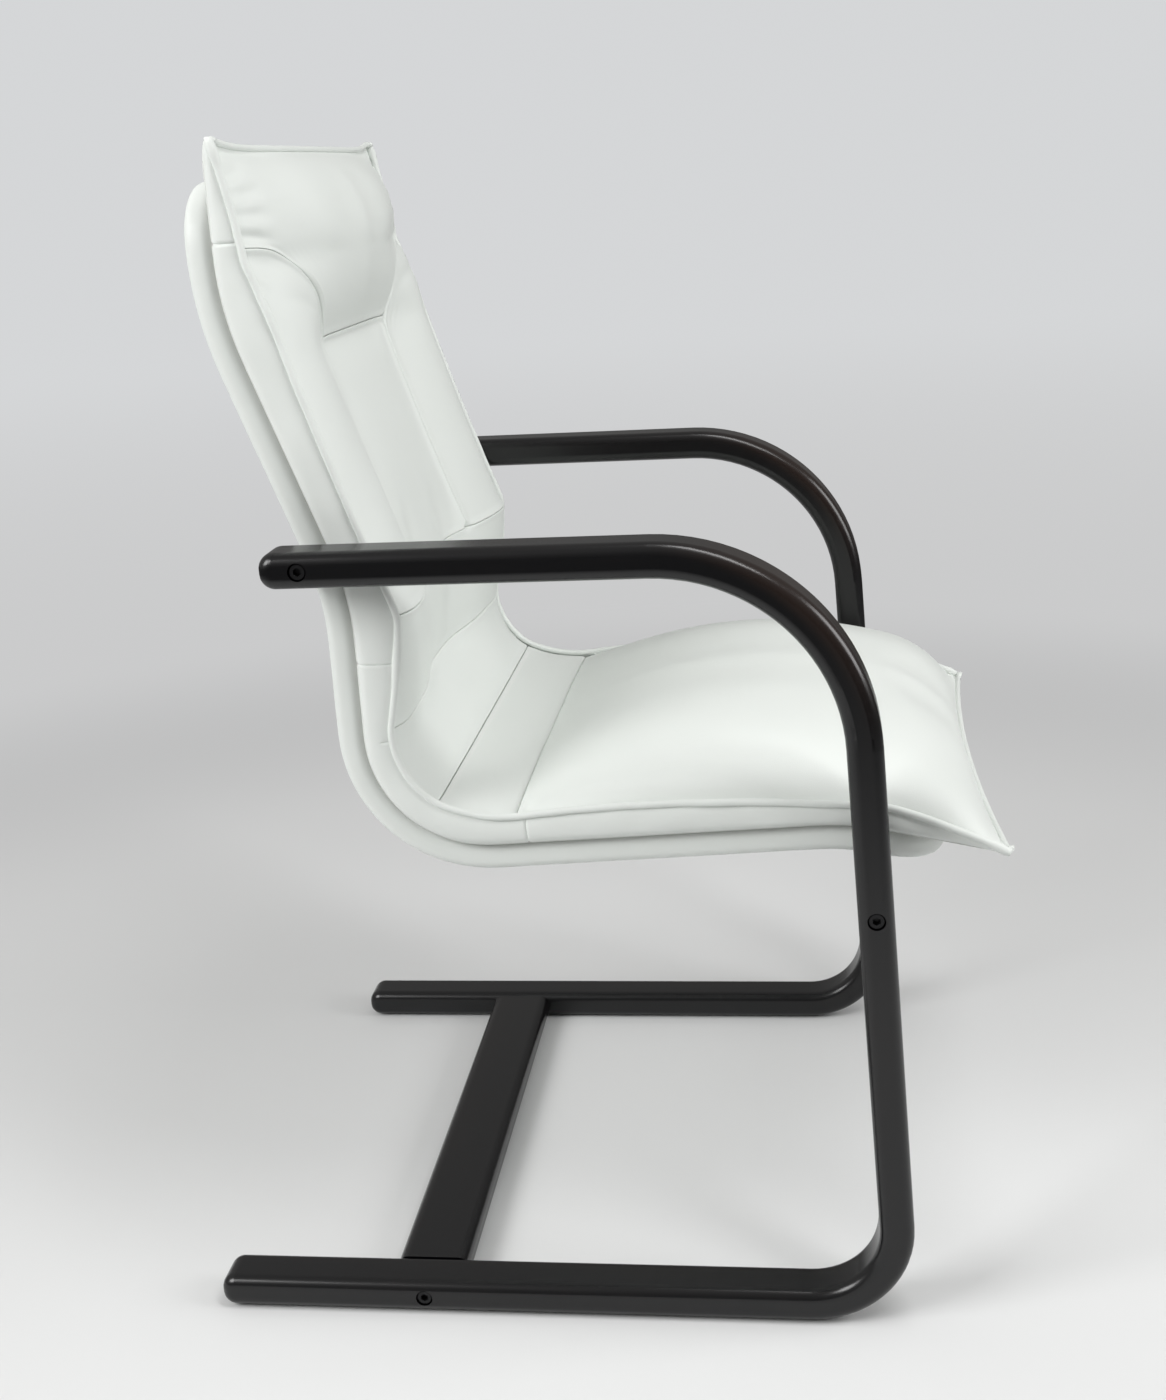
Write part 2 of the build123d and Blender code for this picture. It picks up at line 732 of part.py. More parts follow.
def swollen(start, end, swell, share):
    """An arc between two seams that swells to its left."""
    run = (end[0] - start[0], end[1] - start[1])
    length = hypot(*run)
    height = swell[0] + (swell[1] - swell[0]) * crown_at(share)
    middle = (
        (start[0] + end[0]) / 2 - run[1] / length * height,
        (start[1] + end[1]) / 2 + run[0] / length * height,
    )
    ThreePointArc(start, middle, end)


def zone(base, seams, swells):
    """Lofts a padded zone across the chair: base corners, seams from front to rear, and their swells."""
    with BuildPart() as pad:
        for step in range(-crown_steps, crown_steps + 1):
            share = sin(pi / 2 * step / crown_steps)
            line = [seam(abs(share)) for seam in seams]
            with BuildSketch(Plane.YZ.offset(share * pad_half_width)):
                with BuildLine():
                    Polyline(line[-1], *base(line), line[0])
                    for start, end, swell in zip(line, line[1:], swells):
                        swollen(start, end, swell, abs(share))
                make_face()
        loft()
        with BuildSketch(Plane.YZ.offset(-boxing_x)):
            bent_strip(trim_line, shell_radii, -pad_shift, trim_depth)
        extrude(amount=2 * boxing_x, mode=Mode.SUBTRACT)
    return pad.part


# What lies behind the base cloth is trimmed off, out past the bends' corners and past both ends
trim_line = shell_line(2 * cushion_top_z, 2 * cushion_tip_y)
trim_depth = max(heel_radius / 2, cover_half)

heel_lift = heel_crown / hypot(*heel_seam_place)
tip_edge = free_edge(tip_ear, tip_bow)
knee_seam = sewn_seam(knee_end, knee_crown)
seat_seam = sewn_seam(seat_seam_end, (0, seat_crown))
heel_seam = sewn_seam(heel_seam_end, raised((0, 0), heel_seam_place, heel_lift))
lumbar_seam = dished_seam(lumbar_seam_end, lumbar_dish)
waist_seam = dished_seam(waist_seam_end, waist_dish)
tab_seam = dished_seam(tab_seam_end, tab_dish)
shoulder_line = sewn_seam(shoulder_end, (-shoulder_crown, 0))
top_edge = free_edge(top_ear, top_bow)


def belly_line(share):
    """The fullest line across the head panel, which fades into the shoulders."""
    return raised(shoulder_line(share), (-head_belly, 0), (1 - share**2) ** 2)


def seat_base(line):
    """Corners under the seat, whose front end follows the bowed tip."""
    tip_y = line[0][0]
    return [(seat_seam_end[0], shell_heel_z), (shell_knee_y, shell_knee_z), (tip_y, shell_front_z(tip_y))]


def lower_lumbar_base(line):
    """Corners behind the pad in the bend."""
    return [(shell_waist_y, shell_heel_z), (seat_seam_end[0], shell_heel_z)]


def middle_lumbar_base(line):
    """Corners behind the pad over the bend."""
    return [(shell_waist_y, lumbar_seam_end[1]), (shell_waist_y, shell_heel_z)]


def upper_lumbar_base(line):
    """Corners behind the pad under the waist seam."""
    return [(shell_waist_y, waist_seam_end[1]), (shell_waist_y, lumbar_seam_end[1])]


def back_base(line):
    """Corners behind the back, whose upper end follows the bowed top."""
    top_z = line[-1][1]
    return [
        (shell_back_y, top_z),
        (shell_back_y, shell_shoulder_z),
        (shell_waist_y, shell_waist_z),
        (shell_waist_y, waist_seam_end[1]),
    ]


seat_cushion = zone(seat_base, [tip_edge, knee_seam, seat_seam], [front_swell, thigh_swell])
seat_cushion.label = "seat_cushion"
export_step(seat_cushion, "parts/seat_cushion.step")

lower_lumbar_pad = zone(lower_lumbar_base, [seat_seam, heel_seam], [lower_lumbar_swell])
lower_lumbar_pad.label = "lower_lumbar_pad"
export_step(lower_lumbar_pad, "parts/lower_lumbar_pad.step")

middle_lumbar_pad = zone(middle_lumbar_base, [heel_seam, lumbar_seam], [middle_lumbar_swell])
middle_lumbar_pad.label = "middle_lumbar_pad"
export_step(middle_lumbar_pad, "parts/middle_lumbar_pad.step")

upper_lumbar_pad = zone(upper_lumbar_base, [lumbar_seam, waist_seam], [upper_lumbar_swell])
upper_lumbar_pad.label = "upper_lumbar_pad"
export_step(upper_lumbar_pad, "parts/upper_lumbar_pad.step")

back_swells = [back_swell, brow_swell, head_swell]
back_form = zone(back_base, [waist_seam, tab_seam, shoulder_line, top_edge], back_swells)
head_form = zone(back_base, [waist_seam, tab_seam, belly_line, top_edge], back_swells)

# The head panel is fuller and ends in a rounded tab; two seams run down the back from the tab's corners
seam_reach = overall_depth


def head_seam():
    """Draws the head panel's lower seam from side to side."""
    right = TangentArc((-boxing_x, head_seam_z), (-head_tab_half_width, head_tab_z), tangent=(1, 0))
    left = TangentArc((boxing_x, head_seam_z), (head_tab_half_width, head_tab_z), tangent=(-1, 0))
    Line(right @ 1, left @ 1)


with BuildPart() as head_region:
    with BuildSketch(Plane.XZ):
        with BuildLine():
            head_seam()
            Polyline(
                (-boxing_x, head_seam_z),
                (-boxing_x, 2 * cushion_top_z),
                (boxing_x, 2 * cushion_top_z),
                (boxing_x, head_seam_z),
            )
        make_face()
    extrude(amount=seam_reach, both=True)

with BuildPart() as back_seams:
    with BuildSketch(Plane.XZ):
        with BuildLine():
            head_seam()
            for side in (-1, 1):
                seam_x = side * head_tab_half_width
                Line((seam_x, head_tab_z), (seam_x, waist_seam_end[1]))
        trace(line_width=seam_width)
    extrude(amount=seam_reach, both=True)
    add(back_form.moved(Location((0, seam_depth, 0))), mode=Mode.SUBTRACT)

with BuildPart() as head_cushion:
    add(head_form)
    add(head_region.part, mode=Mode.INTERSECT)
    add(back_seams.part, mode=Mode.SUBTRACT)
head_cushion.part.label = "head_cushion"
export_step(head_cushion.part, "parts/head_cushion.step")

with BuildPart() as back_cushion:
    add(back_form)
    add(head_region.part, mode=Mode.SUBTRACT)
    add(back_seams.part, mode=Mode.SUBTRACT)
back_cushion.part.label = "back_cushion"
export_step(back_cushion.part, "parts/back_cushion.step")


# Piping across the top of the head panel and across the front of the seat
def cross_piping(end, bow):
    """A round cord from ear to ear that bows in the middle."""
    middle = raised(end, bow, 1)
    with BuildPart() as cord:
        with BuildLine() as route:
            ThreePointArc((-cross_piping_x, *end), (0, *middle), (cross_piping_x, *end))
        with BuildSketch(Plane(origin=route.line @ 0, z_dir=route.line % 0)):
            Circle(piping_radius)
        sweep()
    return cord.part


piping_lift = piping_radius + seat_gap
head_piping = cross_piping(raised(top_ear, (0, piping_lift), 1), top_bow)
head_piping.label = "head_piping"
export_step(head_piping, "parts/head_piping.step")

seat_front_piping = cross_piping(raised(tip_ear, (-piping_lift, 0), 1), tip_bow)
seat_front_piping.label = "seat_front_piping"
export_step(seat_front_piping, "parts/seat_front_piping.step")
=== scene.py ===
# Visitor chair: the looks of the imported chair, put on in the order in which the chair is put together.
# Front is -Y, up is +Z and the sitter's right is -X. All sizes are metres.
from math import cos, pi, radians, sin

import bmesh
import bpy
import numpy as np
from mathutils import Matrix, Vector, noise
from mathutils.bvhtree import BVHTree


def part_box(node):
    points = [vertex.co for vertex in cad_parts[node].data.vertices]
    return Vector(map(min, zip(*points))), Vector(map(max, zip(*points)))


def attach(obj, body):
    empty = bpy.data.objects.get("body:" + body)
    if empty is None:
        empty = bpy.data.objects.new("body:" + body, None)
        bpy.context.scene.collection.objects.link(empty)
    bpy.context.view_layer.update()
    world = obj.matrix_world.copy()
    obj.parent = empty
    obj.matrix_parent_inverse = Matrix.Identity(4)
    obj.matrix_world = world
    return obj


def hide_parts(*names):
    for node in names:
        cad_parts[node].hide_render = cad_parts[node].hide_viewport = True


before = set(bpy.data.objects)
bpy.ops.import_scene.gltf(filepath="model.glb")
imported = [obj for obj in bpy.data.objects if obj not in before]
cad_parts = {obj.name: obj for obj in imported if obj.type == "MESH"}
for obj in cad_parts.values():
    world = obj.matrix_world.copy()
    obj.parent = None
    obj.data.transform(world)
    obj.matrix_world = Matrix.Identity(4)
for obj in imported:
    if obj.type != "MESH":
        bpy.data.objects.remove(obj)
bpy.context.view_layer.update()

# Side frames
# Two C-shaped strips of laminated beech, bent in a press, stained black and lacquered satin.
# The runner, the front leg and the arm are one strip, so the grain runs round both bends.
foot_bend_radius = 0.070
arm_bend_radius = 0.157
wood_thickness = 0.028
leg_lean = 0.0524
pore_scale, pore_scale_along = 420, 14
cloud_scale, cloud_scale_along = 26, 2.4
stain_black = (0.0016, 0.0016, 0.0022, 1)
stain_and_sheen_brown = (0.0240, 0.0135, 0.0095, 1)


class Value:
    """A node's output in one finish: operators on it add Math nodes, and node() adds any other node."""

    def __init__(self, tree, socket=None):
        self.tree = tree
        self.socket = socket

    def node(self, kind, settings=None, inputs=None, output=0):
        """Adds a node: its settings first, then the values or links of its sockets."""
        made = self.tree.nodes.new(kind)
        for name, setting in (settings or {}).items():
            setattr(made, name, setting)
        self.feed(made, inputs or {})
        return Value(self.tree, made.outputs[output])

    def feed(self, made, inputs):
        """Sets or links a node's sockets."""
        for name, given in inputs.items():
            if isinstance(given, Value):
                self.tree.links.new(given.socket, made.inputs[name])
            else:
                made.inputs[name].default_value = given

    def math(self, operation, first, second=0.0, third=0.0):
        return self.node("ShaderNodeMath", {"operation": operation}, {0: first, 1: second, 2: third})

    def __add__(self, other):
        return self.math("ADD", self, other)

    def __radd__(self, other):
        return self.math("ADD", other, self)

    def __sub__(self, other):
        return self.math("SUBTRACT", self, other)

    def __rsub__(self, other):
        return self.math("SUBTRACT", other, self)

    def __mul__(self, other):
        return self.math("MULTIPLY", self, other)

    def __rmul__(self, other):
        return self.math("MULTIPLY", other, self)

    def most(self, other):
        return self.math("MAXIMUM", self, other)

    def least(self, other):
        return self.math("MINIMUM", self, other)

    def above(self, limit):
        return self.math("GREATER_THAN", self, limit)

    def root(self):
        return self.math("SQRT", self)

    def sine(self):
        return self.math("SINE", self)

    def ramp(self, low, high):
        """Rises smoothly from 0 at low to 1 at high."""
        settings = {"interpolation_type": "SMOOTHSTEP"}
        return self.node("ShaderNodeMapRange", settings, {"Value": self, "From Min": low, "From Max": high})

    def tint(self, first, second):
        """Mixes two colours by this value."""
        inputs = {"Factor": self, 6: first, 7: second}
        return self.node("ShaderNodeMix", {"data_type": "RGBA"}, inputs, output=2)

    def at(self, x, y, z):
        """A vector from three values."""
        return self.node("ShaderNodeCombineXYZ", None, {0: x, 1: y, 2: z})

    def speckle(self, place, scale, detail=2.0, roughness=0.5, slow=None):
        """Noise at a place, with an optional fourth coordinate."""
        inputs = {"Vector": place, "Scale": scale, "Detail": detail, "Roughness": roughness}
        if slow is not None:
            inputs["W"] = slow
        dimensions = "3D" if slow is None else "4D"
        return self.node("ShaderNodeTexNoise", {"noise_dimensions": dimensions}, inputs)

    def bump(self, strength, depth):
        """A normal that follows this value as a height."""
        return self.node("ShaderNodeBump", None, {"Strength": strength, "Distance": depth, "Height": self})


def new_finish(name):
    """A new material with its Principled shader, the object coordinates and their three parts."""
    material = bpy.data.materials.new(name)
    material.use_nodes = True
    tree = material.node_tree
    value = Value(tree)
    place = value.node("ShaderNodeTexCoord", None, None, output="Object")
    parts = [value.node("ShaderNodeSeparateXYZ", None, {0: place}, output=axis) for axis in range(3)]
    return material, tree.nodes["Principled BSDF"], place, parts


def paint(material, *nodes):
    """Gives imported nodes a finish."""
    for name in nodes:
        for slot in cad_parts[name].material_slots:
            slot.material = material


def stained_wood(shader, place, across, layer, along, up, painted_bend_sheen=0.0):
    """Black-stained beech: fine pores along the grain, brown where the stain is thin, satin lacquer, and a
    brown painted highlight where one is given.
    """
    pore_place = place.at(across * pore_scale, layer * pore_scale, along * pore_scale_along)
    pores = place.speckle(pore_place, 1.0, 3.0, 0.6, slow=up * pore_scale_along)
    cloud_place = place.at(across * cloud_scale, layer * cloud_scale, along * cloud_scale_along)
    broad = place.speckle(cloud_place, 1.0, 2.0, slow=up * cloud_scale_along)
    # Brown where the stain is thin, plus the given painted highlight on the bends.
    thin_stain_and_sheen = broad.ramp(0.42, 0.75) * 0.10 + pores.ramp(0.55, 0.8) * 0.08 + painted_bend_sheen
    sheen = 0.20 + pores * 0.04 + broad * 0.06
    place.feed(shader, {
        "Base Color": thin_stain_and_sheen.tint(stain_black, stain_and_sheen_brown),
        "Roughness": sheen,
        "Normal": pores.bump(0.03, 0.0002),
        "Specular IOR Level": 0.50,
    })


frame_low, frame_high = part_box("right_side_frame")
runner_level = frame_low.z + wood_thickness / 2
arm_level = frame_high.z - wood_thickness / 2
leg_line = frame_low.y + wood_thickness / 2
bent_wood, shader, place, (x, y, z) = new_finish("bent_wood")
upright_y = y - (z - runner_level) * leg_lean
is_upper = z.above((runner_level + arm_level) / 2)
bend_radius = is_upper * (arm_bend_radius - foot_bend_radius) + foot_bend_radius
past_leg = (leg_line + bend_radius) - upright_y
below_bend = is_upper * (z - arm_level) + (1 - is_upper) * (runner_level - z) + bend_radius
round_part = (past_leg.most(0) * past_leg.most(0) + below_bend.most(0) * below_bend.most(0)).root()
layer = round_part + past_leg.most(below_bend).least(0)
outer = (layer - bend_radius).ramp(0.004, 0.013)
# Painted highlight: the outer top of the upper bends is tinted brown where the lamp's sheen falls on the
# lacquer.
painted_bend_sheen = past_leg.ramp(0.0, 0.12) * below_bend.ramp(0.0, 0.12) * is_upper * outer * 0.6
stained_wood(shader, place, x, layer, y, z, painted_bend_sheen)
paint(bent_wood, "right_side_frame", "left_side_frame")

# Floor cross bar and front seat rail
# Two straight lengths of the same stained wood between the frames.
# Each is pulled against the frames by one bolt at either end, with two dowels beside it.
straight_wood, shader, place, (x, y, z) = new_finish("straight_wood")
stained_wood(shader, place, y, z, x, 0.0)
paint(straight_wood, "floor_cross_bar", "front_seat_rail")

# Bolts, nuts, inserts and dowels
# Black hex-socket bolts in counterbores, zinc-plated barrel nuts, inserts and tee nuts, beech dowels.
# Nylon spacers and glides, and the hook-and-loop strips that hold the cushion.


def plain_finish(name, light, dark, grain, shine, metallic=0.0, relief=0.1):
    """A finish of two near colours in fine specks, with its roughness varied alike."""
    material, shader, place, _ = new_finish(name)
    specks = place.speckle(place, grain, 3.0)
    place.feed(shader, {
        "Base Color": specks.tint(dark, light),
        "Roughness": specks * 0.12 + shine,
        "Metallic": metallic,
        "Normal": specks.bump(relief, 0.0001),
    })
    return material


black_steel = plain_finish("black_steel", (0.020, 0.020, 0.021, 1), (0.010, 0.010, 0.011, 1), 900, 0.30, 0.6)
zinc_steel = plain_finish("zinc_steel", (0.62, 0.63, 0.64, 1), (0.48, 0.49, 0.50, 1), 700, 0.28, 1.0)
black_nylon = plain_finish("black_nylon", (0.018, 0.018, 0.018, 1), (0.010, 0.010, 0.010, 1), 1200, 0.50)
paint(black_steel, "arm_bolts", "leg_bolts", "runner_bolts", "seat_bolts")
paint(zinc_steel, "bar_barrel_nuts", "rail_barrel_nuts", "shell_edge_inserts", "tee_nuts")
paint(black_nylon, "floor_glides", "arm_spacers", "cushion_strips")

beech, shader, place, (x, y, z) = new_finish("beech")
veneer = place.speckle(place.at(x * 6, y * 160, z * 160), 1.0, 3.0)
place.feed(shader, {
    "Base Color": veneer.tint((0.42, 0.25, 0.13, 1), (0.60, 0.41, 0.24, 1)),
    "Roughness": veneer * 0.2 + 0.5,
    "Normal": veneer.bump(0.1, 0.0002),
})
paint(beech, "bar_dowels", "rail_dowels", "plywood_shell")
foam = plain_finish("foam", (0.72, 0.70, 0.62, 1), (0.60, 0.58, 0.50, 1), 1500, 0.85, relief=0.4)
paint(foam, "shell_padding")

# Shell cover
# White leather over thin foam, pulled tight round the bent plywood and stapled under the cushion.
# It is made as a flat rounded plate with soft rims, and bent as the plywood is.
cover_thickness = 0.022
cover_rim_round = 0.0085
cover_corner_radius = 0.048
strip_thickness = 0.0025
slice_step = 0.008
cover_softness = 0.0004
cover_softness_scale = 22
line_step = 0.002
line_smoothing = 0.014


def smoothed(values, reach):
    """Rolling average of evenly spaced values, with straight continuations past both ends."""
    window = np.hanning(2 * reach + 1)
    longer = np.pad(values, reach, mode="reflect", reflect_type="odd")
    return np.convolve(longer, window / window.sum(), mode="valid")


def strip_outline(node):
    """The outline of a flat side strip, in order, as places in Y and Z."""
    shape = bmesh.new()
    shape.from_mesh(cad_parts[node].data)
    bmesh.ops.remove_doubles(shape, verts=shape.verts, dist=1e-6)
    middle_x = sum(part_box(node), Vector()).x / 2
    flat = [face for face in shape.faces if face.normal.x < -0.9 and face.calc_center_median().x < middle_x]
    sides = [edge for face in flat for edge in face.edges]
    rim = [edge for edge in sides if sum(face in flat for face in edge.link_faces) == 1]
    spot = rim[0].verts[0]
    around = [spot]
    left = set(rim)
    while left:
        edge = next(one for one in left if spot in one.verts)
        left.remove(edge)
        spot = edge.other_vert(spot)
        around.append(spot)
    points = [(vert.co.y, vert.co.z) for vert in around[:-1]]
    shape.free()
    return points


def base_line():
    """The line along which the cushion's underside lies, from the top of the back to the seat's front."""
    points = strip_outline("right_boxing")
    top = max(z for y, z in points)
    ends = [index for index, (y, z) in enumerate(points) if top - z < 1e-5]
    start = max(ends, key=lambda index: points[index][0])
    points = points[start:] + points[:start]
    if points[1][1] > top - 1e-5:
        points = points[:1] + points[:0:-1]
    tip = min(range(len(points)), key=lambda index: points[index][0])
    line = np.array(points[: tip + 1])
    run = np.concatenate([[0], np.cumsum(np.hypot(*np.diff(line, axis=0).T))])
    even = np.arange(0, run[-1], line_step)
    reach = round(line_smoothing / line_step)
    return [smoothed(np.interp(even, run, line[:, axis]), reach) for axis in (0, 1)]


base_y, base_z = base_line()
base_s = np.arange(len(base_y)) * line_step
slope_y, slope_z = np.gradient(base_y), np.gradient(base_z)
slope_length = np.hypot(slope_y, slope_z)
lift_y, lift_z = slope_z / slope_length, -slope_y / slope_length


def bent(s, height):
    """The place in Y and Z at a run s down the base line and a height off it, towards the sitter."""
    spot_y = np.interp(s, base_s, base_y) + height * np.interp(s, base_s, lift_y)
    spot_z = np.interp(s, base_s, base_z) + height * np.interp(s, base_s, lift_z)
    return spot_y, spot_z


def new_piece(name, shape, material, slot, *nodes):
    """Makes a smooth piece of a finished shape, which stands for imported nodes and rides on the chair."""
    mesh = bpy.data.meshes.new(name)
    shape.to_mesh(mesh)
    shape.free()
    mesh.polygons.foreach_set("use_smooth", [True] * len(mesh.polygons))
    piece = bpy.data.objects.new(name, mesh)
    bpy.context.scene.collection.objects.link(piece)
    mesh.materials.append(material)
    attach(piece, "root")
    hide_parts(*nodes)
    return piece


def rounder(piece, levels=1):
    """Adds a subdivision surface."""
    modifier = piece.modifiers.new("Rounder", "SUBSURF")
    modifier.levels = levels
    modifier.render_levels = levels


def sliced(shape, direction, places):
    """Cuts a shape into slices, so that it can bend."""
    for spot in places:
        everything = shape.verts[:] + shape.edges[:] + shape.faces[:]
        bmesh.ops.bisect_plane(
            shape, geom=everything, plane_co=direction * spot, plane_no=direction, dist=1e-6
        )


white_leather, shader, place, _ = new_finish("white_leather")
cloudy = place.speckle(place, 9.0, 3.0)
pebbles = place.node(
    "ShaderNodeTexVoronoi", {"feature": "DISTANCE_TO_EDGE"}, {"Vector": place, "Scale": 620.0}
)
pores = place.speckle(place, 1500.0, 2.0)
hide = pebbles.ramp(0.0, 0.35) * 0.7 + pores * 0.3
creases = place.speckle(place, 120.0, 4.0, 0.6)
place.feed(shader, {
    "Base Color": cloudy.tint((0.755, 0.785, 0.755, 1), (0.785, 0.815, 0.785, 1)),
    "Roughness": 0.40 + cloudy * 0.10 + (1 - hide) * 0.10,
    "Normal": (hide * 0.8 + creases * 0.5).bump(0.16, 0.0003),
    "Specular IOR Level": 0.42,
})

shell_low, shell_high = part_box("shell_cover")
shell_drop = -strip_thickness - cover_thickness / 2
middle_line_y = bent(base_s, shell_drop)[0]
shell_start = base_z[0] - shell_high.z
seat_half = len(base_s) // 2
shell_end = np.interp(-shell_low.y, -middle_line_y[seat_half:], base_s[seat_half:])
shell_length = shell_end - shell_start
shell_half_width = shell_high.x

plate = bmesh.new()
bmesh.ops.create_grid(plate, x_segments=1, y_segments=1, size=0.5)
bmesh.ops.scale(plate, verts=plate.verts, vec=(2 * shell_half_width, shell_length, 1))
bmesh.ops.bevel(
    plate, geom=plate.verts[:], affect="VERTICES",
    offset=cover_corner_radius, segments=12, profile=0.5, material=-1,
)
raised = bmesh.ops.extrude_face_region(plate, geom=plate.faces[:], use_keep_orig=True)
raised_verts = [one for one in raised["geom"] if isinstance(one, bmesh.types.BMVert)]
bmesh.ops.translate(plate, verts=raised_verts, vec=(0, 0, cover_thickness))
bmesh.ops.translate(plate, verts=plate.verts, vec=(0, 0, -cover_thickness / 2))
bmesh.ops.recalc_face_normals(plate, faces=plate.faces)
rims = [edge for edge in plate.edges if abs(edge.verts[0].co.z - edge.verts[1].co.z) < 1e-6]
bmesh.ops.bevel(
    plate, geom=rims, affect="EDGES", offset=cover_rim_round, segments=5, profile=0.5, material=-1
)
sliced(plate, Vector((0, 1, 0)), np.arange(-shell_length / 2 + slice_step, shell_length / 2, slice_step))
sliced(plate, Vector((1, 0, 0)), np.arange(-shell_half_width + slice_step, shell_half_width, 3 * slice_step))
for vert in plate.verts:
    run = shell_start + shell_length / 2 - vert.co.y
    softness = cover_softness * noise.noise(Vector((vert.co.x, run, 0)) * cover_softness_scale)
    vert.co.yz = bent(run, shell_drop + vert.co.z * (1 + softness / cover_thickness))
bmesh.ops.recalc_face_normals(plate, faces=plate.faces)
shell_cover = new_piece("shell_cover", plate, white_leather, "white_leather", "shell_cover")
rounder(shell_cover)

# Cushion base cloth
# A plain woven lining that closes the cushion underneath and carries the looped strips.
# It is cut as one rectangle and lies stretched along the shell.
cloth_low, cloth_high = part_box("cushion_base_cloth")
cloth_thickness = 0.001
cloth_half_width = cloth_high.x
cloth_columns = 24
cloth_rows = 140
weave_scale = 5200

lining, shader, place, (x, y, z) = new_finish("lining")
weft = (x * weave_scale).sine()
warp = ((y + z) * weave_scale).sine()
weave = weft * warp * 0.5 + 0.5
place.feed(shader, {
    "Base Color": weave.tint((0.55, 0.55, 0.53, 1), (0.70, 0.70, 0.68, 1)),
    "Roughness": 0.85 + weave * 0.1,
    "Normal": weave.bump(0.3, 0.0002),
})

cloth_start = base_z[0] - cloth_high.z
cloth_end = np.interp(-cloth_low.y, -bent(base_s, cloth_thickness)[0][seat_half:], base_s[seat_half:])
cloth = bmesh.new()
bmesh.ops.create_grid(cloth, x_segments=cloth_columns, y_segments=cloth_rows, size=0.5)
for vert in cloth.verts:
    run = cloth_start + (0.5 - vert.co.y) * (cloth_end - cloth_start)
    vert.co.x *= 2 * cloth_half_width
    vert.co.yz = bent(run, 0)
base_cloth = new_piece("cushion_base_cloth", cloth, lining, "lining", "cushion_base_cloth")
wall = base_cloth.modifiers.new("Wall", "SOLIDIFY")
wall.thickness = cloth_thickness
wall.offset = 1

# Cushion
# Six sewn zones of white leather over polyester wadding: head, back, three lumbar pads and seat.
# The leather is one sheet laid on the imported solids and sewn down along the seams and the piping.
# Its filling blows it up between them, and soft folds are pressed in beside the piping.
zones = [
    "head_cushion", "back_cushion", "upper_lumbar_pad",
    "middle_lumbar_pad", "lower_lumbar_pad", "seat_cushion",
]
zone_rows = [32, 44, 16, 11, 11, 64]
back_seam_x = 0.107
edge_inset = 0.0001
side_columns = 20
middle_columns = 28
reach_above = 0.089
groove_reach = 0.004
end_margin = 0.0001
halvings = 12

corners = []
triangles = []
zone_of = []
for index, name in enumerate(zones):
    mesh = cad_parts[name].data
    first = len(corners)
    corners += [vert.co.copy() for vert in mesh.vertices]
    for face in mesh.polygons:
        triangles.append([first + corner for corner in face.vertices])
        zone_of.append(index)
packed_cushion = BVHTree.FromPolygons(corners, triangles)


def cushion_at(s, x):
    """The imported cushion's surface and zone at a run down the base line and a place across the chair."""
    start = bent(s, reach_above)
    stop = bent(s, 0)
    way = Vector((0, stop[0] - start[0], stop[1] - start[1])).normalized()
    spot, _, index, _ = packed_cushion.ray_cast(Vector((x, *start)), way, reach_above)
    return spot, -1 if spot is None else zone_of[index]


cushion_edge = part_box("seat_cushion")[1].x - edge_inset
side_share = np.sin(np.linspace(0, pi / 2, side_columns + 1))
side_x = back_seam_x + (cushion_edge - back_seam_x) * side_share
middle_x = np.linspace(-back_seam_x, back_seam_x, middle_columns + 1)
column_x = np.concatenate([-side_x[:0:-1], middle_x, side_x[1:]])
first_seam = side_columns
last_seam = side_columns + middle_columns


def change_of_zone(x, before, after, zone):
    """The run between two runs at which a column of the sheet passes into a zone."""
    for _ in range(halvings):
        middle = (before + after) / 2
        reached = cushion_at(middle, x)[1]
        if reached >= zone or (reached < 0 and middle > base_s[seat_half]):
            after = middle
        else:
            before = middle
    return (before + after) / 2


def seam_runs(x):
    """The runs at which a column starts, passes from zone to zone, and ends."""
    runs = np.arange(0, base_s[-1], 2 * line_step)
    seen = [cushion_at(run, x)[1] for run in runs]
    starts = []
    for zone in range(len(zones)):
        first = next(place for place, one in enumerate(seen) if one >= zone)
        starts.append(change_of_zone(x, runs[max(first - 1, 0)], runs[first], zone))
    last = max(place for place, one in enumerate(seen) if one >= 0)
    end = change_of_zone(x, runs[last], min(runs[last] + 2 * line_step, base_s[-1]), len(zones))
    return starts + [end]


half_runs = [seam_runs(x) for x in column_x[len(column_x) // 2 :]]
all_runs = np.array(half_runs[:0:-1] + half_runs)


def height_at(run, x):
    """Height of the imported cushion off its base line."""
    spot = cushion_at(run, x)[0]
    return np.hypot(*(np.array(spot[1:]) - bent(run, 0)))


def ungrooved(run, x, runs):
    """The same height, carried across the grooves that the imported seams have."""
    run = min(max(run, runs[0] + end_margin), runs[-1] - end_margin)
    if abs(run - runs[1]) < groove_reach:
        share = (run - runs[1] + groove_reach) / (2 * groove_reach)
        above = ungrooved(runs[1] - groove_reach, x, runs)
        return above + (ungrooved(runs[1] + groove_reach, x, runs) - above) * share
    if abs(abs(x) - back_seam_x) < groove_reach / 2 and runs[1] < run < runs[2]:
        return (height_at(run, x - groove_reach) + height_at(run, x + groove_reach)) / 2
    return height_at(run, x)


def sheet_rows():
    """The leather sheet's points, row by row from the top of the head to the front of the seat."""
    rows = []
    for zone, count in enumerate(zone_rows):
        for step in range(count + (zone == len(zones) - 1)):
            share = step / count
            row = []
            for x, runs in zip(column_x, all_runs):
                run = runs[zone] + (runs[zone + 1] - runs[zone]) * share
                row.append((x, *bent(run, ungrooved(run, x, runs)), run))
            rows.append(row)
    return np.array(rows)


sheet = sheet_rows()
sheet_run = sheet[:, :, 3]
sheet = sheet[:, :, :3]
zone_first_row = np.concatenate([[0], np.cumsum(zone_rows)])


